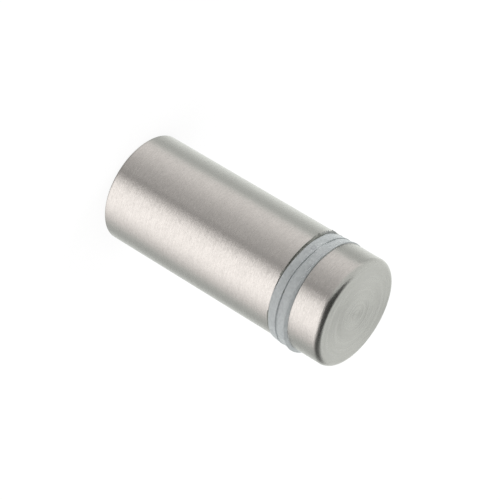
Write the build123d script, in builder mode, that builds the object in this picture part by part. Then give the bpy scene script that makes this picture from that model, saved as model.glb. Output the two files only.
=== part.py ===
from build123d import *
import math
import os

# Standoff spacer for holding a panel off a wall: a turned barrel that is screwed to the wall, a cap
# on a threaded stud that screws into the barrel's front, and two plastic washers that grip the panel
# between them. Millimetres. Z is the common axis, with the wall at Z = 0 and the cap's face on top.

# Barrel
diameter = 19.0  # outside diameter of the barrel and of the cap
barrel_length = 35.0
wall_edge_bevel = 0.15  # on the barrel's edge at the wall
edge_break = 0.05  # on the nearly sharp edges of barrel and cap at the washers

# Thread that joins the cap to the barrel, M10 x 1.5
thread_diameter = 10.0
thread_pitch = 1.5
thread_clearance = 0.05  # radial play of the stud in both tapped holes
tapped_depth = 22.0  # full thread in the barrel, from its front face
tap_lead = 3.0  # past it, where the tap's taper runs out into the drilled core
mouth_bevel = 0.6  # lead-in at the mouth of each tapped hole

# Wall screw, which goes in through the tapped bore before the cap is fitted
screw_hole_diameter = 5.0
screw_hole_land = 2.25  # straight wall left under the head's seat
screw_head_angle = 90.0  # included angle of the countersunk seat

# Washers
washer_overhang = 0.25  # how far a centred washer's front edge stands proud of the metal
washer_draft = 0.15  # how much smaller its radius is at the back, where it leaves the mould first
washer_thickness = 2.0
washer_play = 0.5  # radial play of a washer on the stud
washer_sag = 0.2  # how far the washers have dropped to one side within that play
washer_round = 0.4  # soft back edge
washer_edge = 0.15  # nearly sharp front edge

# Cap and stud
cap_length = 6.0
cap_round = 1.0  # round between the cap's side and its face
stud_length = 25.0
stud_in_cap = 4.0
stud_bevel = 1.0
hole_relief = 0.3  # left free past the stud's end in the cap
socket_across_flats = 5.0
socket_depth = 5.0

# Worked out from the sizes above
radius = diameter / 2
thread_radius = thread_diameter / 2
core_radius = (thread_diameter - thread_pitch) / 2  # the drill that is used before tapping
stud_radius = thread_radius - thread_clearance
screw_hole_radius = screw_hole_diameter / 2
washer_radius = radius + washer_overhang
washer_hole_radius = thread_radius + washer_play
seat_depth = (core_radius - screw_hole_radius) / math.tan(math.radians(screw_head_angle / 2))
seat_height = screw_hole_land + seat_depth  # the seat's wide rim, where the drilled core starts
tap_end = barrel_length - tapped_depth
rear_washer_base = barrel_length
front_washer_base = rear_washer_base + washer_thickness
cap_base = front_washer_base + washer_thickness
stud_base = cap_base + stud_in_cap - stud_length


def make_barrel():
    """Turned bar with a stepped bore: wall-screw hole, head seat, drilled core and tapped front."""
    bore_outline = [
        (0, 0),
        (screw_hole_radius, 0),
        (screw_hole_radius, screw_hole_land),
        (core_radius, seat_height),
        (core_radius, tap_end - tap_lead),
        (thread_radius, tap_end),
        (thread_radius, barrel_length - mouth_bevel),
        (thread_radius + mouth_bevel, barrel_length),
        (0, barrel_length),
    ]
    with BuildPart() as barrel:
        with BuildSketch(Plane.XY):
            Circle(radius)
        extrude(amount=barrel_length)
        chamfer(barrel.edges().group_by(Axis.Z)[-1], length=edge_break)
        chamfer(barrel.edges().group_by(Axis.Z)[0], length=wall_edge_bevel)
        with BuildSketch(Plane.XZ):
            with BuildLine():
                Polyline(*bore_outline, close=True)
            make_face()
        revolve(axis=Axis.Z, mode=Mode.SUBTRACT)
    return barrel


def make_washer(base):
    """Moulded plastic ring, wider at the front, loose on the stud and dropped to one side by its play."""
    outline = [
        (washer_hole_radius, 0),
        (washer_radius - washer_draft, 0),
        (washer_radius, washer_thickness),
        (washer_hole_radius, washer_thickness),
    ]
    section_plane = Plane(origin=(washer_sag, 0, base), x_dir=(1, 0, 0), z_dir=(0, -1, 0))
    with BuildPart() as washer:
        with BuildSketch(section_plane) as section:
            with BuildLine():
                Polyline(*outline, close=True)
            make_face()
            fillet(section.vertices().sort_by(Axis.X)[-2], radius=washer_round)
            fillet(section.vertices().sort_by(Axis.X)[-1], radius=washer_edge)
        revolve(axis=Axis((washer_sag, 0, 0), (0, 0, 1)))
    return washer


def make_cap():
    """Turned disc with a rounded front edge and a blind tapped hole in its back for the stud."""
    with BuildPart() as cap:
        with BuildSketch(Plane.XY.offset(cap_base)):
            Circle(radius)
        extrude(amount=cap_length)
        fillet(cap.edges().group_by(Axis.Z)[-1], radius=cap_round)
        chamfer(cap.edges().group_by(Axis.Z)[0], length=edge_break)

        with Locations(Plane(origin=(0, 0, cap_base), z_dir=(0, 0, -1))):
            Hole(radius=thread_radius, depth=stud_in_cap + hole_relief)
        mouth = cap.faces().sort_by(Axis.Z)[0].inner_wires()[0].edges()
        chamfer(mouth, length=mouth_bevel)
    return cap


def make_stud():
    """Headless screw, bevelled at both ends, with a hexagon socket in its inner end."""
    with BuildPart() as stud:
        with BuildSketch(Plane.XY.offset(stud_base)):
            Circle(stud_radius)
        extrude(amount=stud_length)
        chamfer(stud.edges().filter_by(GeomType.CIRCLE), length=stud_bevel)
        with BuildSketch(Plane.XY.offset(stud_base)):
            RegularPolygon(radius=socket_across_flats / 2, side_count=6, major_radius=False)
        extrude(amount=socket_depth, mode=Mode.SUBTRACT)
    return stud


pieces = {
    "barrel": make_barrel(),
    "rear_washer": make_washer(rear_washer_base),
    "front_washer": make_washer(front_washer_base),
    "cap": make_cap(),
    "stud": make_stud(),
}

os.makedirs("parts", exist_ok=True)
for name, piece in pieces.items():
    piece.part.label = name
    export_step(piece.part, f"parts/{name}.step")
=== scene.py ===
import math

import bmesh
import bpy
from mathutils import Matrix, Vector, noise


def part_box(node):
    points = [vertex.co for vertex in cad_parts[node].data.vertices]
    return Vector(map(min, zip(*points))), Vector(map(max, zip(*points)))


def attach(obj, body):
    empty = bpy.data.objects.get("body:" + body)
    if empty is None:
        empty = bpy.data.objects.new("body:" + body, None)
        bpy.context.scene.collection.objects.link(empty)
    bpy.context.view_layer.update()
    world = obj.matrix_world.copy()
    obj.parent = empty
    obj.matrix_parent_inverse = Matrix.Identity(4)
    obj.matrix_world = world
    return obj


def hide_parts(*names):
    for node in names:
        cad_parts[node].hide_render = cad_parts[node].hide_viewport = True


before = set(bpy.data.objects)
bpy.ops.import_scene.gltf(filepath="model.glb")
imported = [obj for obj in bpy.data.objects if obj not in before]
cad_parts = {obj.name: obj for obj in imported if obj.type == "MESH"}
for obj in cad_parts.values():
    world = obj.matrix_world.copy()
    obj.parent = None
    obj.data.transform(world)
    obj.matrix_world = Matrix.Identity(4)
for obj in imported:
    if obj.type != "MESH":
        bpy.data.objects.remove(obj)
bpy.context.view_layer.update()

# Metres, in the solids' own frame: Z is the common axis, with the wall at Z = 0 and the cap on top.

MM = 0.001
DEGREE = math.radians(1)
QUARTER_TURN = math.pi / 2

# Corners of the solids' boxes
BARREL_LOW, BARREL_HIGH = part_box("barrel")
STUD_LOW, STUD_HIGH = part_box("stud")
REAR_LOW, REAR_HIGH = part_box("rear_washer")
FRONT_LOW, FRONT_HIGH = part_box("front_washer")
CAP_LOW, CAP_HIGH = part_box("cap")

# M10 thread
PITCH = 1.5 * MM
THREAD_RADIUS = 5 * MM
CORE_RADIUS = THREAD_RADIUS - PITCH / 2
STUD_ROOT = 4.1 * MM  # radius at the bottom of the stud's grooves
STUD_BEVEL = 1 * MM
SOCKET_ACROSS_FLATS = 5 * MM
SOCKET_DEPTH = 5 * MM
SLEEVE_SKIN = 0.01 * MM  # the barrel's thread lies this far inside the plain bore
SLEEVE_WALL = 0.2 * MM  # and reaches this far into the metal behind it
TAPPED_DEPTH = 22 * MM
TAP_LEAD = 3 * MM
MOUTH_RADIUS = 5.6 * MM
THREAD_STEPS = 72  # vertices round each thread
ROWS_A_PITCH = 16  # the profile's corners fall on these rows
CREST_FLAT = 0.125  # shares of a half pitch from the crest's middle: here its flat ends
ROOT_FLAT = 0.75  # and here the groove's flat begins
DRILL_POINT = 30 * DEGREE  # slope of the drilled point under the socket
THREAD_SHARP = 28 * DEGREE  # edges sharper than this stay hard
WASHER_SHARP = 35 * DEGREE

# Washers. They are soft and unevenly squeezed: towards -X their seam lies nearer the cap, and the
# rear washer's flash shows in a ragged crevice at the barrel.
WASHER_HOLE = 5.5 * MM
WASHER_STEPS = 720
WASHER_CENTRE = (REAR_LOW.x + REAR_HIGH.x) / 2
WASHER_DRAFT = 0.16 * MM  # how much smaller the rear washer is at its back
RIM_WAVE = 0.02 * MM  # how uneven each washer's radius is
BACK_ROUND = 0.15 * MM  # back edge of the rear washer
FRONT_ROUND = 0.06 * MM  # its front edge
CREVICE = 0.14 * MM  # between the barrel and the rear washer's side
CREVICE_RISE = 0.28 * MM  # how much wider it is towards -X
SEAM_HEIGHT = 36.74 * MM
SEAM_RISE = 0.5 * MM
LIP_RADIUS = 9.9 * MM  # thin lip round the front washer's front edge
LIP_HEIGHT = 38.68 * MM
LIP_RISE = 0.22 * MM
BEHIND_LIP = 9.5 * MM  # radius at which the lip comes down to the front face
FRONT_FACE = 9.3 * MM  # radius of the flat front face, under the cap
ARC_POINTS = 5
GATE = Vector((-5.45, -7.8, 36.6)) * MM  # where the plastic entered the mould
GATE_RADIUS = 0.38 * MM

# Bearings on the washers, anticlockwise from +X
SHUT_BEARING = 296 * DEGREE  # the rear washer's side meets the barrel
TONGUE_BEARING = 272 * DEGREE  # a tongue of flash
SPLIT_BEARING = 180 * DEGREE  # the flash is split
TAG_BEARING = 193.5 * DEGREE  # a small tag of flash
SPECK_BEARING = 285 * DEGREE  # soil held in the seam
CLOSED_SEAM_BEARING = 229 * DEGREE  # the seam nearly closes at the gate
HIGH_LIP_BEARING = 228 * DEGREE
LOW_LIP_BEARING = 302 * DEGREE

# Fineness and seed of each unevenness round the washers
SLOW_WAVE = 2.5
LIP_WAVE = 6.0
FLASH_TEARS = 38.0
LIP_TEARS = 40.0
REAR_RIM_SEED, FLASH_SEED, FRONT_RIM_SEED, LIP_SEED, LIP_TEAR_SEED = 1.0, 3.0, 4.0, 5.0, 8.0


# Shader and geometry maths


class Graph:
    """A node tree that is written from left to right, ending in its output."""

    def __init__(self, tree):
        self.tree = tree
        tree.nodes.clear()

    def node(self, kind, settings=None, inputs=None):
        """Adds a node: its settings first, then the values or links of its sockets."""
        node = self.tree.nodes.new(kind)
        for name, value in (settings or {}).items():
            setattr(node, name, value)
        for socket, value in (inputs or {}).items():
            self.feed(node.inputs[socket], value)
        return node

    def feed(self, socket, value):
        if isinstance(value, Expression):
            self.tree.links.new(value.socket, socket)
        elif isinstance(value, bpy.types.NodeSocket):
            self.tree.links.new(value, socket)
        else:
            socket.default_value = value

    def value(self, kind, settings=None, inputs=None, output=0):
        """Adds a node and gives one of its outputs as an expression."""
        return Expression(self, self.node(kind, settings, inputs).outputs[output])

    def vector(self, x, y, z):
        return self.value("ShaderNodeCombineXYZ", inputs={0: x, 1: y, 2: z})

    def parts(self, vector):
        node = self.node("ShaderNodeSeparateXYZ", inputs={0: vector})
        return [Expression(self, socket) for socket in node.outputs]

    def position(self):
        """Object coordinates in metres, which are the part's own frame."""
        return self.parts(self.node("ShaderNodeTexCoord").outputs["Object"])

    def noise(self, x, y, z, detail=2.0, roughness=0.5):
        """Noise at a place, which the caller has multiplied by waves a metre."""
        settings = {"noise_dimensions": "3D"}
        place = self.vector(x, y, z)
        inputs = {"Vector": place, "Scale": 1.0, "Detail": detail, "Roughness": roughness}
        return self.value("ShaderNodeTexNoise", settings, inputs)

    def step(self, value, start, end, low=0.0, high=1.0):
        """Eases from low to high while value goes from start to end."""
        inputs = {"Value": value, "From Min": start, "From Max": end, "To Min": low, "To Max": high}
        return self.value("ShaderNodeMapRange", {"interpolation_type": "SMOOTHSTEP"}, inputs)

    def mix_colour(self, factor, first, second):
        settings = {"data_type": "RGBA", "clamp_factor": True}
        return self.value("ShaderNodeMix", settings, {0: factor, 6: first, 7: second}, output=2)

    def bump(self, height, distance, strength=1.0):
        inputs = {"Height": height, "Distance": distance, "Strength": strength}
        return self.value("ShaderNodeBump", None, inputs)


class Expression:
    """A number in a node tree. Python's operators on it add the Math nodes that work it out."""

    def __init__(self, graph, socket):
        self.graph = graph
        self.socket = socket

    def math(self, operation, *others):
        inputs = dict(enumerate((self,) + others))
        return self.graph.value("ShaderNodeMath", {"operation": operation}, inputs)

    def _reflected(self, operation, other):
        return self.graph.value("ShaderNodeMath", {"operation": operation}, {0: other, 1: self})

    def __add__(self, other):
        return self.math("ADD", other)

    def __sub__(self, other):
        return self.math("SUBTRACT", other)

    def __mul__(self, other):
        return self.math("MULTIPLY", other)

    def __truediv__(self, other):
        return self.math("DIVIDE", other)

    def __pow__(self, other):
        return self.math("POWER", other)

    def __neg__(self):
        return self.math("MULTIPLY", -1.0)

    def __rsub__(self, other):
        return self._reflected("SUBTRACT", other)

    def __rtruediv__(self, other):
        return self._reflected("DIVIDE", other)

    __radd__ = __add__
    __rmul__ = __mul__


def new_material(name):
    material = bpy.data.materials.new(name)
    material.use_nodes = True
    return material, Graph(material.node_tree)


def finish_surface(graph, shader):
    graph.node("ShaderNodeOutputMaterial", inputs={"Surface": shader.outputs[0]})


# Materials

STEEL = (0.78, 0.765, 0.735, 1.0)
STEEL_DULL = (0.66, 0.645, 0.62, 1.0)
# near-black for the cap's nicks and for painted shade on the steel
STEEL_NICKS_AND_SHADE = (0.12, 0.12, 0.11, 1.0)
SCREW_GROOVE_SHADE = (0.30, 0.29, 0.27, 1.0)
SCREW_CREST = (0.62, 0.61, 0.59, 1.0)
PLASTIC_SMOKY = (0.33, 0.355, 0.36, 1.0)
PLASTIC_PALE = (0.48, 0.505, 0.51, 1.0)
PLASTIC_GATE = (0.335, 0.35, 0.365, 1.0)
# soil and painted shade in the washers' crevice and seam
SOIL_AND_SHADE_DARK = (0.07, 0.075, 0.06, 1.0)
SOIL_AND_SHADE_LIGHT = (0.30, 0.305, 0.27, 1.0)
PAPER = (0.92, 0.92, 0.915, 1.0)
PAPER_LIGHT = (0.96, 0.96, 0.96, 1.0)
WHITE = (1.0, 1.0, 1.0, 1.0)
SIDE_ANISOTROPY = 0.8
FACE_ANISOTROPY = 0.55
BRUSHING_DIRECTION = 0.25  # a quarter turn: round the axis
SIDE_ENDS = 8.9 * MM  # radius at which the side's brushing starts to give way to the face's
FACE_STARTS = 8.2 * MM


def brushed_steel(name):
    """Stainless steel brushed round its axis: on the side, over the round and on the face."""
    material, graph = new_material(name)
    x, y, z = graph.position()
    radius = (x * x + y * y) ** 0.5
    along = z - radius  # grows along the turned outline, from the side over the edge to the centre
    grain = graph.noise(x * 2200.0, y * 2200.0, along * 5500.0, detail=2.0, roughness=0.6)
    strokes = graph.noise(x * 450.0, y * 450.0, along * 4200.0, detail=2.0)
    clouds = graph.noise(x * 130.0, y * 130.0, z * 130.0)
    arcs = graph.noise(x * 110.0, y * 110.0, radius * 1700.0, detail=2.0)  # left by facing the ends
    faced = graph.step(radius, SIDE_ENDS, FACE_STARTS)
    marks = (grain * 0.6 + strokes * 0.4 - 0.5) * (1.0 - faced * 0.4) + 0.5
    turned = (arcs - 0.5) * faced * graph.step(radius, 5.5 * MM, 1.5 * MM, 1.0, 2.0)
    lines = marks + turned * 0.6
    pits = graph.step(graph.noise(x * 2400.0, y * 2400.0, along * 3600.0, detail=1.0), 0.60, 0.72)
    pits = pits * (1.0 - faced * 0.6)
    shade = (marks - 0.5) * 2.1 + (clouds - 0.5) * 0.3 + turned * 0.8 - pits * 0.5 + 0.55
    metal = graph.mix_colour(shade, STEEL_DULL, STEEL)
    specks = graph.noise(x * 4500.0, y * 4500.0, z * 4500.0, detail=2.0)  # at the cap's rear edge
    from_row = z - CAP_LOW.z - graph.step(x, -8.4 * MM, -9.2 * MM, 0.18 * MM, 0.5 * MM)
    specked = graph.step(from_row.math("ABSOLUTE"), 0.36 * MM, 0.0) * graph.step(y, 0.0, -3 * MM)
    specked = specked * graph.step(x, -6.5 * MM, -8.0 * MM) * graph.step(specks, 0.46, 0.62)
    # painted shade: a dark line round the barrel's rear edge
    painted_rim_shade = graph.step(z, 0.38 * MM, 0.2 * MM)
    # the cap is made up to 4 % darker than the barrel
    cap_darkening = graph.step(z, CAP_LOW.z - 1 * MM, CAP_LOW.z, 0.0, 0.04)
    # painted shade: the cap's face is darker towards its centre
    painted_face_shade = faced * graph.step(radius, 0.0, 8 * MM, 0.055, 0.01)
    # real nicks mixed with painted shade on the rear edge and face, and the cap's darkening
    nicks_and_painted_shade = specked * 0.55 + painted_rim_shade * 0.26 + (cap_darkening + painted_face_shade)
    colour = graph.mix_colour(nicks_and_painted_shade, metal, STEEL_NICKS_AND_SHADE)
    roughness = graph.step(lines, 0.3, 0.7, 0.33, 0.25)
    relief = graph.bump(lines, 0.03 * MM)

    def brushed(anisotropy):
        inputs = {
            "Base Color": colour,
            "Metallic": 1.0,
            "Roughness": roughness,
            "Anisotropic": anisotropy,
            "Anisotropic Rotation": BRUSHING_DIRECTION,
            "Normal": relief,
        }
        return graph.node("ShaderNodeBsdfPrincipled", inputs=inputs).outputs[0]

    side, face = brushed(SIDE_ANISOTROPY), brushed(FACE_ANISOTROPY)
    surface = graph.node("ShaderNodeMixShader", inputs={0: faced, 1: side, 2: face})
    finish_surface(graph, surface)
    return material


def threaded_steel(name):
    """Plain screw steel, with painted shade darkening its grooves."""
    material, graph = new_material(name)
    x, y, z = graph.position()
    radius = (x * x + y * y) ** 0.5
    # painted shade: the steel is darker towards the grooves' roots
    groove = graph.step(radius, STUD_ROOT, THREAD_RADIUS)
    marks = graph.noise(x * 900.0, y * 900.0, z * 4000.0, detail=3.0)
    shade = groove * 0.6 + marks * 0.5
    shader = graph.node(
        "ShaderNodeBsdfPrincipled",
        inputs={
            "Base Color": graph.mix_colour(shade, SCREW_GROOVE_SHADE, SCREW_CREST),
            "Metallic": 1.0,
            "Roughness": graph.step(marks, 0.3, 0.7, 0.28, 0.42),
            "Normal": graph.bump(marks, 0.01 * MM, 0.5),
        },
    )
    finish_surface(graph, shader)
    return material


def washer_plastic(name):
    """Smoky, half-clear moulded plastic: bluish grey with a soft shine, darkened in the crevice
    with soil and painted shade.
    """
    material, graph = new_material(name)
    x, y, z = graph.position()
    clouds = graph.noise(x * 260.0, y * 260.0, z * 500.0, detail=2.0)
    specks = graph.noise(x * 2200.0, y * 2200.0, z * 2200.0, detail=2.0)
    mottling = graph.step(specks, 0.35, 0.65)
    to_gate = ((x - GATE.x) ** 2.0 + (y - GATE.y) ** 2.0 + (z - GATE.z) ** 2.0) ** 0.5
    gate_ring = graph.step((to_gate - GATE_RADIUS).math("ABSOLUTE"), 0.15 * MM, 0.05 * MM)
    shade = clouds * 0.54 + mottling * 0.45 + 0.095
    smoky = graph.mix_colour(shade, PLASTIC_SMOKY, PLASTIC_PALE)
    clean = graph.mix_colour(gate_ring, smoky, PLASTIC_GATE)
    # soil and painted shade: the crevice, the seam and the front face under the cap are darkened
    soil_and_shade = graph.value("ShaderNodeAttribute", {"attribute_name": "soil_and_painted_shade"}, output="Fac")
    soil_and_painted_shade = graph.mix_colour(specks, SOIL_AND_SHADE_DARK, SOIL_AND_SHADE_LIGHT)
    shader = graph.node(
        "ShaderNodeBsdfPrincipled",
        inputs={
            "Base Color": graph.mix_colour(soil_and_shade, clean, soil_and_painted_shade),
            "Roughness": graph.step(clouds + soil_and_shade, 0.2, 1.2, 0.3, 0.6),
            "IOR": 1.5,
            "Specular IOR Level": 0.9,
            "Transmission Weight": 0.15,
            "Normal": graph.bump(clouds * 0.5 + specks * 0.08 - gate_ring * 0.5, 0.03 * MM, 0.5),
        },
    )
    finish_surface(graph, shader)
    return material


def floor_surface(name):
    """White paper to the camera, with the part's own soft shadow kept on it."""
    material, graph = new_material(name)
    x, y, z = graph.position()
    fibres = graph.noise(x * 600.0, y * 600.0, 0.0, detail=3.0)
    paper = graph.node(
        "ShaderNodeBsdfDiffuse",
        inputs={"Color": graph.mix_colour(fibres, PAPER, PAPER_LIGHT)},
    )
    glow = graph.node("ShaderNodeEmission", inputs={"Color": WHITE, "Strength": 1.0})
    light_path = graph.node("ShaderNodeLightPath").outputs
    seen = Expression(graph, light_path["Is Camera Ray"])
    through = Expression(graph, light_path["Is Transmission Ray"])
    mixed = graph.node(
        "ShaderNodeMixShader",
        inputs={0: seen.math("MAXIMUM", through) * 0.85, 1: paper.outputs[0], 2: glow.outputs[0]},
    )
    finish_surface(graph, mixed)
    return material


# Meshes


def mesh_object(name, mesh):
    piece = bpy.data.objects.new(name, mesh)
    bpy.context.scene.collection.objects.link(piece)
    return piece


def shade_mesh(mesh, material, sharp_angle):
    """Gives a mesh its material, smooth faces and hard edges."""
    mesh.materials.clear()
    mesh.materials.append(material)
    mesh.polygons.foreach_set("use_smooth", [True] * len(mesh.polygons))
    mesh.polygons.foreach_set("material_index", [0] * len(mesh.polygons))
    mesh.set_sharp_from_angle(angle=sharp_angle)


def arc(centre, radius, start, end, points=ARC_POINTS):
    """Points of an arc in the (radius, height) plane."""
    angles = [start + (end - start) * step / (points - 1) for step in range(points)]
    return [(centre[0] + radius * math.cos(a), centre[1] + radius * math.sin(a)) for a in angles]


def ring_of_vertices(mesh, steps, place):
    """Adds a ring of vertices: place(angle) gives each one's radius and height."""
    ring = []
    for step in range(steps):
        angle = 2 * math.pi * step / steps
        radius, height = place(angle)
        ring.append(mesh.verts.new((radius * math.cos(angle), radius * math.sin(angle), height)))
    return ring


def join_rings(mesh, lower, upper):
    """Adds the band of faces between two rings."""
    steps = len(lower)
    for step in range(steps):
        after = (step + 1) % steps
        mesh.faces.new((lower[step], lower[after], upper[after], upper[step]))


def close_ring(mesh, ring, height):
    """Closes a ring with a fan about a point on the axis."""
    centre = mesh.verts.new((0, 0, height))
    steps = len(ring)
    for step in range(steps):
        mesh.faces.new((ring[step], ring[(step + 1) % steps], centre))


def boundary_ring(mesh, height):
    """The open edge's vertices at a height, in order round the axis from angle zero."""
    open_edges = [edge for edge in mesh.edges if edge.is_boundary]
    ends = {vert for edge in open_edges for vert in edge.verts}
    ring = [vert for vert in ends if abs(vert.co.z - height) < SLEEVE_SKIN / 2]
    return sorted(ring, key=lambda vert: math.atan2(vert.co.y, vert.co.x) % (2 * math.pi))


def moulded_ring(name, steps, section, centre_x):
    """A closed ring: section(angle) gives its outline as (radius, height, soil and painted shade)
    points.
    """
    mesh = bmesh.new()
    soil_and_painted_shade = mesh.verts.layers.float.new("soil_and_painted_shade")
    rings = [[] for point in section(0.0)]
    for step in range(steps):
        angle = 2 * math.pi * step / steps
        for ring, (radius, height, soil_and_shade_share) in zip(rings, section(angle)):
            place = (centre_x + radius * math.cos(angle), radius * math.sin(angle), height)
            ring.append(mesh.verts.new(place))
            ring[-1][soil_and_painted_shade] = soil_and_shade_share
    for lower, upper in zip(rings, rings[1:] + rings[:1]):
        join_rings(mesh, lower, upper)
    bmesh.ops.recalc_face_normals(mesh, faces=mesh.faces)
    data = bpy.data.meshes.new(name)
    mesh.to_mesh(data)
    mesh.free()
    return data


# Screw threads


def thread_tree():
    """Geometry nodes for one helical thread surface, open at both ends.

    A flat grid is rolled up. Its rows lean by one pitch a turn, so each row follows the helix and
    the corners of the thread's section are crisp. Rows that run past an end are held back at it,
    where the bevel or the tap's lead has already brought them to one radius.
    """
    tree = bpy.data.node_groups.new("helical_thread", "GeometryNodeTree")
    for name in ("Root radius", "Crest radius", "Start", "End", "Pitch"):
        tree.interface.new_socket(name, in_out="INPUT", socket_type="NodeSocketFloat")
    for name in ("Start radius", "Start slope", "End radius", "End slope"):
        tree.interface.new_socket(name, in_out="INPUT", socket_type="NodeSocketFloat")
    tree.interface.new_socket("Rows", in_out="INPUT", socket_type="NodeSocketInt")
    tree.interface.new_socket("Steps round", in_out="INPUT", socket_type="NodeSocketInt")
    tree.interface.new_socket("Surface", in_out="INPUT", socket_type="NodeSocketMaterial")
    tree.interface.new_socket("Geometry", in_out="OUTPUT", socket_type="NodeSocketGeometry")
    graph = Graph(tree)
    given = graph.node("NodeGroupInput").outputs

    def number(name):
        return Expression(graph, given[name])

    pitch = number("Pitch")
    start, end = number("Start"), number("End")
    sheet = graph.node(
        "GeometryNodeMeshGrid",
        inputs={
            "Size X": 1.0,
            "Size Y": 1.0,
            "Vertices X": number("Steps round") + 1.0,
            "Vertices Y": number("Rows") + 1.0,
        },
    )
    across, up, _ = graph.parts(graph.node("GeometryNodeInputPosition").outputs[0])
    turn = across + 0.5
    row = (up + 0.5) * number("Rows")
    in_pitch = (row / float(ROWS_A_PITCH)).math("FRACT")
    from_crest = (in_pitch * 2.0 - 1.0).math("ABSOLUTE")
    flank = graph.value(
        "ShaderNodeMapRange",
        inputs={
            "Value": from_crest,
            "From Min": CREST_FLAT,
            "From Max": ROOT_FLAT,
            "To Min": 1.0,
            "To Max": 0.0,
        },
    )
    root, crest = number("Root radius"), number("Crest radius")
    section = root + (crest - root) * flank
    height = start - pitch + (row / float(ROWS_A_PITCH) + turn) * pitch
    held = height.math("MAXIMUM", start).math("MINIMUM", end)
    start_limit = number("Start radius") + (held - start) * number("Start slope")
    end_limit = number("End radius") + (end - held) * number("End slope")
    outside = (crest - root).math("GREATER_THAN", 0.0)
    narrowed = section.math("MINIMUM", start_limit).math("MINIMUM", end_limit)
    opened = section.math("MINIMUM", start_limit).math("MAXIMUM", end_limit)
    radius = narrowed * outside + opened * (1.0 - outside)
    angle = turn * (2 * math.pi)
    rolled = graph.node(
        "GeometryNodeSetPosition",
        inputs={
            "Geometry": sheet.outputs["Mesh"],
            "Position": graph.vector(
                radius * angle.math("COSINE"), radius * angle.math("SINE"), held
            ),
        },
    )
    whole = graph.node("GeometryNodeRealizeInstances", inputs={0: rolled.outputs[0]})
    painted = graph.node(
        "GeometryNodeSetMaterial",
        inputs={"Geometry": whole.outputs[0], "Material": given["Surface"]},
    )
    graph.node("NodeGroupOutput", inputs={0: painted.outputs[0]})
    return tree


def thread_mesh(name, tree, material, sizes):
    """Runs the thread nodes on an empty mesh and gives the welded result as a bmesh."""
    carrier = mesh_object(name + "_carrier", bpy.data.meshes.new(name + "_carrier"))
    modifier = carrier.modifiers.new("thread", "NODES")
    modifier.node_group = tree
    sockets = {item.name: item.identifier for item in tree.interface.items_tree}
    rows = math.ceil((sizes["End"] - sizes["Start"]) / PITCH + 1) * ROWS_A_PITCH
    given = {**sizes, "Pitch": PITCH, "Rows": rows, "Steps round": THREAD_STEPS}
    for label, value in given.items():
        modifier[sockets[label]] = value
    modifier[sockets["Surface"]] = material
    evaluated = carrier.evaluated_get(bpy.context.evaluated_depsgraph_get())
    baked = bpy.data.meshes.new_from_object(evaluated)
    bpy.data.objects.remove(carrier)
    mesh = bmesh.new()
    mesh.from_mesh(baked)
    bpy.data.meshes.remove(baked)
    bmesh.ops.remove_doubles(mesh, verts=mesh.verts, dist=SLEEVE_SKIN / 20)
    return mesh


def finish_thread(name, mesh, material):
    bmesh.ops.recalc_face_normals(mesh, faces=mesh.faces)
    data = bpy.data.meshes.new(name)
    mesh.to_mesh(data)
    mesh.free()
    shade_mesh(data, material, THREAD_SHARP)
    return mesh_object(name, data)


def hexagon_radius(angle):
    """Distance from the axis to the flat of the hexagon socket at an angle."""
    sixth = math.pi / 3
    return SOCKET_ACROSS_FLATS / 2 / math.cos((angle + sixth / 2) % sixth - sixth / 2)


def make_stud(tree, material):
    """Headless M10 screw with bevelled ends and a hexagon socket in its inner end."""
    crest = STUD_HIGH.x
    sizes = {
        "Root radius": STUD_ROOT,
        "Crest radius": crest,
        "Start": STUD_LOW.z,
        "End": STUD_HIGH.z,
        "Start radius": crest - STUD_BEVEL,
        "Start slope": 1.0,
        "End radius": crest - STUD_BEVEL,
        "End slope": 1.0,
    }
    mesh = thread_mesh("stud", tree, material, sizes)
    tip = STUD_LOW.z
    floor = tip + SOCKET_DEPTH
    drill_point = floor + SOCKET_ACROSS_FLATS / 2 * math.tan(DRILL_POINT)
    inner_end = boundary_ring(mesh, tip)
    mouth = ring_of_vertices(mesh, THREAD_STEPS, lambda angle: (hexagon_radius(angle), tip))
    base = ring_of_vertices(mesh, THREAD_STEPS, lambda angle: (hexagon_radius(angle), floor))
    join_rings(mesh, inner_end, mouth)
    join_rings(mesh, mouth, base)
    close_ring(mesh, base, drill_point)
    close_ring(mesh, boundary_ring(mesh, STUD_HIGH.z), STUD_HIGH.z)
    return finish_thread("threaded_stud", mesh, material)


def make_barrel_thread(tree, material):
    """The tapped thread inside the barrel, as a thin sleeve with its back in the metal."""
    mouth = BARREL_HIGH.z - SLEEVE_SKIN
    deep_end = BARREL_HIGH.z - TAPPED_DEPTH - TAP_LEAD
    root = THREAD_RADIUS - SLEEVE_SKIN
    core = CORE_RADIUS - SLEEVE_SKIN
    sizes = {
        "Root radius": root,
        "Crest radius": core,
        "Start": deep_end,
        "End": mouth,
        "Start radius": core,
        "Start slope": (root - core) / TAP_LEAD,
        "End radius": MOUTH_RADIUS - SLEEVE_SKIN,
        "End slope": -1.0,
    }
    mesh = thread_mesh("sleeve", tree, material, sizes)
    behind = MOUTH_RADIUS + SLEEVE_WALL
    inner_low = boundary_ring(mesh, deep_end)
    inner_high = boundary_ring(mesh, mouth)
    outer_low = ring_of_vertices(mesh, THREAD_STEPS, lambda angle: (behind, deep_end))
    outer_high = ring_of_vertices(mesh, THREAD_STEPS, lambda angle: (behind, mouth))
    join_rings(mesh, inner_high, outer_high)
    join_rings(mesh, outer_high, outer_low)
    join_rings(mesh, outer_low, inner_low)
    return finish_thread("barrel_thread", mesh, material)


# Washers


def unevenness(angle, fineness, seed):
    """Smooth unevenness round a ring, from about -1 to 1. It closes on itself."""
    return noise.noise((fineness * math.cos(angle), fineness * math.sin(angle), seed)) * 1.6


def eased(value, start, end):
    """Goes smoothly from 0 to 1 while value goes from start to end."""
    share = min(max((value - start) / (end - start), 0.0), 1.0)
    return share * share * (3 - 2 * share)


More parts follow.
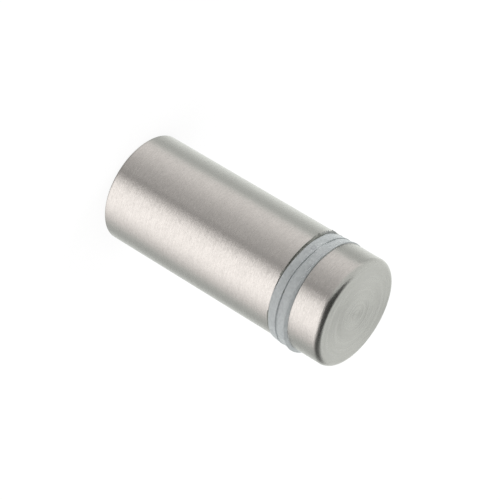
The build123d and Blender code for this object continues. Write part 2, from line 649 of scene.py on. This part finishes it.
def bulge(angle, centre, width):
    """1 at the centre angle, falling to 0 within about two widths."""
    apart = (angle - centre + math.pi) % (2 * math.pi) - math.pi
    return math.exp(-((apart / width) ** 2))


def seam_at(angle):
    """Height at which the two washers meet."""
    return SEAM_HEIGHT + SEAM_RISE * eased(-math.cos(angle), -0.1, 0.8)


def speck_at(angle):
    """Soil held in the seam at one place."""
    return 0.6 * bulge(angle, SPECK_BEARING, 2 * DEGREE)


def rear_section(angle):
    """Rear washer: flash and a crevice at the barrel, nearly sharp at the seam."""
    rim = (REAR_HIGH.x - REAR_LOW.x) / 2 + RIM_WAVE * unevenness(angle, SLOW_WAVE, REAR_RIM_SEED)
    seat = REAR_LOW.z
    shut = bulge(angle, SHUT_BEARING, 10 * DEGREE)
    across = math.cos(angle)
    far = eased(-across, 0.8, 0.93)  # 1 all the way towards -X
    opening = CREVICE + CREVICE_RISE * (eased(-across, -0.2, 0.5) - 0.3 * far)
    low = seat + opening * (1 - 0.85 * shut)
    high = seam_at(angle)
    tear = unevenness(angle, FLASH_TEARS, FLASH_SEED)
    spread = eased(-across, 0.55, 0.8) * (1 - bulge(angle, SPLIT_BEARING, 5 * DEGREE))
    torn = eased(-across, 0.7, 0.85) * tear
    ridge = eased(across, 0.5, 0.72) * eased(across, 0.99, 0.95)  # flash towards +X
    ridge += 1.1 * bulge(angle, TONGUE_BEARING, 6 * DEGREE) * (1 + 0.3 * tear)
    # The barrel's radius about the washer's own centre
    barrel_edge = BARREL_HIGH.x - WASHER_CENTRE * across
    flash = barrel_edge + (-0.25 + 0.35 * spread + 0.12 * spread * torn + 0.28 * ridge) * MM
    flash += 0.08 * MM * bulge(angle, TAG_BEARING, 3 * DEGREE)
    # Towards -X the flash is folded back over the barrel's edge
    folded = seat - (0.1 + 0.18 * torn) * MM * spread * (1 - 0.4 * far)
    folded -= 0.22 * MM * ridge
    flash_top = seat + (low - seat) * (0.62 + 0.2 * spread)
    back = rim - WASHER_DRAFT
    corner = BACK_ROUND * (1 - 0.5 * shut)
    lower = arc((back - corner, low + corner), corner, -QUARTER_TURN, 0.0)
    upper = arc((rim - FRONT_ROUND, high - FRONT_ROUND), FRONT_ROUND, 0.0, QUARTER_TURN)
    # soil and painted shade on the flash and in the crevice at the barrel
    soil_and_shade = (1 - shut) * (1 - 0.05 * spread - 0.4 * far)
    under = eased(across, 0.5, 0.7) * soil_and_shade  # painted shade: towards +X the overhanging back edge itself is darkened
    foot = [
        (WASHER_HOLE, seat, 0.0),
        (barrel_edge - 0.5 * MM, seat, soil_and_shade),
        (min(barrel_edge + 0.02 * MM, flash - 0.03 * MM), seat + 0.01 * MM, soil_and_shade),
        (flash, min(folded, seat) + 0.02 * MM, soil_and_shade),
        (flash, (seat + flash_top) / 2, soil_and_shade),
        (flash - 0.03 * MM, flash_top, soil_and_shade),
        (min(flash, back) - 0.1 * MM, (flash_top + low) / 2, soil_and_shade),
    ]
    shade_and_soil_shares = [max(0.6 * soil_and_shade, under), 0.8 * under, 0.4 * under] + [0.0] * (2 * ARC_POINTS - 3)
    shade_and_soil_shares[-3:] = [speck_at(angle)] * 3
    side = [(*point, share) for point, share in zip(lower + upper, shade_and_soil_shares)]
    return foot + side + [(WASHER_HOLE, high, 0.0)]


def front_section(angle):
    """Front washer: soft at the seam, with the mould's thin lip flaring out at its front edge."""
    rim = (FRONT_HIGH.x - FRONT_LOW.x) / 2 + RIM_WAVE * unevenness(angle, SLOW_WAVE, FRONT_RIM_SEED)
    low = seam_at(angle)
    high = FRONT_HIGH.z - 0.005 * MM
    across = math.cos(angle)
    crest = LIP_HEIGHT + LIP_RISE * eased(-across, -0.1, 0.8)
    raised = bulge(angle, HIGH_LIP_BEARING, 12 * DEGREE)
    lowered = bulge(angle, LOW_LIP_BEARING, 12 * DEGREE)
    crest += 0.1 * MM * (raised - lowered)
    flare = eased(-across, 0.5, 0.8)
    lip = LIP_RADIUS + 0.03 * MM * unevenness(angle, LIP_WAVE, LIP_SEED)
    lip += 0.015 * MM * unevenness(angle, LIP_TEARS, LIP_TEAR_SEED)
    lip -= (0.06 * flare + 0.05 * bulge(angle, LOW_LIP_BEARING, 14 * DEGREE)) * MM
    open_seam = 1 - 0.85 * bulge(angle, CLOSED_SEAM_BEARING, 7 * DEGREE)
    open_seam -= 0.6 * eased(across, 0.93, 0.98)
    deep = 0.11 * MM * open_seam * (1 + 0.3 * eased(across, -0.1, 0.3))
    soft = 1 + 0.5 * eased(across, 0.1, 0.4)
    back = rim - 0.1 * MM * open_seam
    body = [
        (back, low + 0.36 * MM * soft),
        (rim - 0.03 * MM, low + 0.9 * MM),
        (rim - 0.03 * MM, crest - 0.46 * MM),
        (rim - 0.02 * MM, crest - 0.30 * MM),
        (rim + 0.01 * MM, crest - 0.18 * MM),
        (lip - 0.08 * MM, crest - 0.08 * MM),
    ]
    cone = (lip - back) / (crest - low - 0.3 * MM)  # its straight slope towards -X
    straight = [back + cone * max(height - low - 0.3 * MM, 0.0) for _, height in body]
    # the seam's bottom and the front face under the cap get a little painted shade; the speck is
    # soil
    side = [
        (back - deep, low, 0.1 + 0.9 * speck_at(angle)),
        (back - 0.55 * deep, low + 0.08 * MM * soft, speck_at(angle)),
        (back - 0.2 * deep, low + 0.2 * MM * soft, 0.0),
    ]
    side += [(r + (s - r) * flare, height, 0.0) for (r, height), s in zip(body, straight)]
    side += [
        (lip, crest - 0.03 * MM, 0.0),
        (lip, crest + 0.02 * MM, 0.0),
        (lip - 0.06 * MM, crest + 0.06 * MM, 0.0),
        (BEHIND_LIP, (crest + high) / 2 + 0.02 * MM, 0.0),
        (FRONT_FACE, high, 0.1),
    ]
    return [(WASHER_HOLE, low, 0.0)] + side + [(WASHER_HOLE, high, 0.0)]


def make_washer(name, section, material):
    data = moulded_ring(name, WASHER_STEPS, section, WASHER_CENTRE)
    shade_mesh(data, material, WASHER_SHARP)
    return mesh_object(name, data)


# Camera, lights and backdrop

VIEW_TARGET = Vector((-0.13, 0.0, 22.97)) * MM  # the point in the middle of the picture
VIEW_DISTANCE = 411.3 * MM
VIEW_ELEVATION = 28.33 * DEGREE
VIEW_ROLL = 120.98 * DEGREE
FOCAL_LENGTH = 184.97  # in millimetres, as the sensor's width
SENSOR_WIDTH = 36.0
NEAREST, FARTHEST = 10 * MM, 50.0

FLOOR_SIZE = 4.0
FLOOR_GAP = 0.02 * MM  # below the barrel's end

COOL_LIGHT = (0.97, 1.0, 0.97, 1.0)
WARM_LIGHT = (1.045, 1.0, 0.985, 1.0)


def add_camera():
    camera = bpy.data.objects.new("camera", bpy.data.cameras.new("camera"))
    camera.data.sensor_width = SENSOR_WIDTH
    camera.data.lens = FOCAL_LENGTH
    camera.data.clip_start = NEAREST
    camera.data.clip_end = FARTHEST
    tilt = Matrix.Rotation(90 * DEGREE - VIEW_ELEVATION, 4, "X")
    roll = Matrix.Rotation(VIEW_ROLL, 4, "Z")
    back = Matrix.Translation((0, 0, VIEW_DISTANCE))
    camera.matrix_world = Matrix.Translation(VIEW_TARGET) @ tilt @ roll @ back
    bpy.context.scene.collection.objects.link(camera)
    bpy.context.scene.camera = camera


def add_floor():
    """White paper just below the barrel's end."""
    mesh = bpy.data.meshes.new("floor")
    half = FLOOR_SIZE / 2
    square = ((-half, -half), (half, -half), (half, half), (-half, half))
    mesh.from_pydata([(x, y, -FLOOR_GAP) for x, y in square], [], [(0, 1, 2, 3)])
    mesh.materials.append(floor_surface("paper"))
    floor = mesh_object("floor", mesh)
    floor.visible_glossy = False


def add_studio():
    """World light: a pale room, in which shiny surfaces see panels and a dark ceiling."""
    world = bpy.data.worlds.new("studio")
    bpy.context.scene.world = world
    world.use_nodes = True
    world.cycles.sampling_method = "NONE"
    graph = Graph(world.node_tree)
    x, y, z = graph.parts(graph.node("ShaderNodeTexCoord").outputs["Generated"])
    side = x.math("ARCTAN2", -y) / DEGREE  # 0 towards the camera, 90 towards +X
    height = z.math("ARCSINE") / DEGREE

    main_panel = graph.step(side - (height + 28.0) * 0.3, -4.0, 28.0)
    main_panel = main_panel * graph.step(side, 54.0, 130.0, 1.0, 0.0)
    fill_panel = graph.step(side, -102.0, -88.0) * graph.step(side, -82.0, -18.0, 1.0, 0.0)
    backdrop = graph.step(side, 125.0, 180.0) + graph.step(side, -105.0, -165.0)
    dip = graph.step((side + 4.0).math("ABSOLUTE"), 0.0, 12.0, 1.0, 0.0)
    underneath = graph.step(height, -64.0, -50.0, 0.1, 1.0)
    panels = main_panel * 0.80 + fill_panel * 0.33 + backdrop * 0.55
    low_light = (panels + 0.47 - dip * 0.14) * underneath

    dark_ceiling = graph.step(x * 5.65 - y * 0.8 + z * 2.4 - x * x * 2.5 - x * z * 5.3, 0.84, 1.84)
    overhead = graph.step(side.math("ABSOLUTE"), 60.0, 150.0, 0.63, 0.73)
    high_light = overhead - (overhead - 0.045) * dark_ceiling
    raised = graph.step((side - 57.0).math("ABSOLUTE"), 48.0, 0.0, 0.0, 20.5)
    above = graph.step(height - raised, -17.0, 22.0)
    brightness = low_light * (1.0 - above) + high_light * above
    warm = graph.step(side, -97.0, -87.0) * graph.step(side, 98.0, 120.0, 1.0, 0.0)
    tint = graph.mix_colour(warm * (1.0 - above), COOL_LIGHT, WARM_LIGHT)

    light_path = graph.node("ShaderNodeLightPath").outputs
    shiny = Expression(graph, light_path["Is Glossy Ray"])
    seen = Expression(graph, light_path["Is Camera Ray"])
    clear = Expression(graph, light_path["Is Transmission Ray"])
    white = seen.math("MAXIMUM", clear)
    plain = 0.95 + y * 0.6 - x * 0.1  # the room is darker towards the camera
    level = white + (1.0 - white) * (brightness * shiny + (1.0 - shiny) * plain)
    colour = graph.mix_colour(shiny, WHITE, tint)
    light = graph.node("ShaderNodeBackground", inputs={"Color": colour, "Strength": level})
    graph.node("ShaderNodeOutputWorld", inputs={"Surface": light.outputs[0]})


def add_lamp(name, place, size, power):
    """A soft round lamp turned to the part, which shiny surfaces don't see."""
    lamp = bpy.data.lights.new(name, "AREA")
    lamp.shape = "DISK"
    lamp.size = size
    lamp.energy = power
    holder = bpy.data.objects.new(name, lamp)
    holder.location = place
    holder.rotation_euler = (VIEW_TARGET - Vector(place)).to_track_quat("-Z", "Y").to_euler()
    holder.visible_glossy = False
    bpy.context.scene.collection.objects.link(holder)


# Assembly

bpy.context.scene.view_settings.view_transform = "Standard"
add_camera()
add_studio()
add_floor()
add_lamp("soft_lamp", (0.35, -0.25, 0.6), 0.5, 1.5)
add_lamp("left_rim_lamp", (-0.58, 0.18, 0.12), 0.3, 2.5)
add_lamp("right_rim_lamp", (0.54, 0.25, 0.12), 0.3, 1.4)

steel = brushed_steel("brushed_steel")
screw_steel = threaded_steel("screw_steel")
plastic = washer_plastic("smoky_plastic")

for node in ("barrel", "cap"):
    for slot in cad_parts[node].material_slots:
        slot.material = steel

helix = thread_tree()
stud = make_stud(helix, screw_steel)
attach(stud, "cap")
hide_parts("stud")

barrel_thread = make_barrel_thread(helix, screw_steel)
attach(barrel_thread, "barrel")

rear_washer = make_washer("moulded_rear_washer", rear_section, plastic)
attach(rear_washer, "barrel")
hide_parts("rear_washer")

front_washer = make_washer("moulded_front_washer", front_section, plastic)
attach(front_washer, "front_washer")
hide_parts("front_washer")
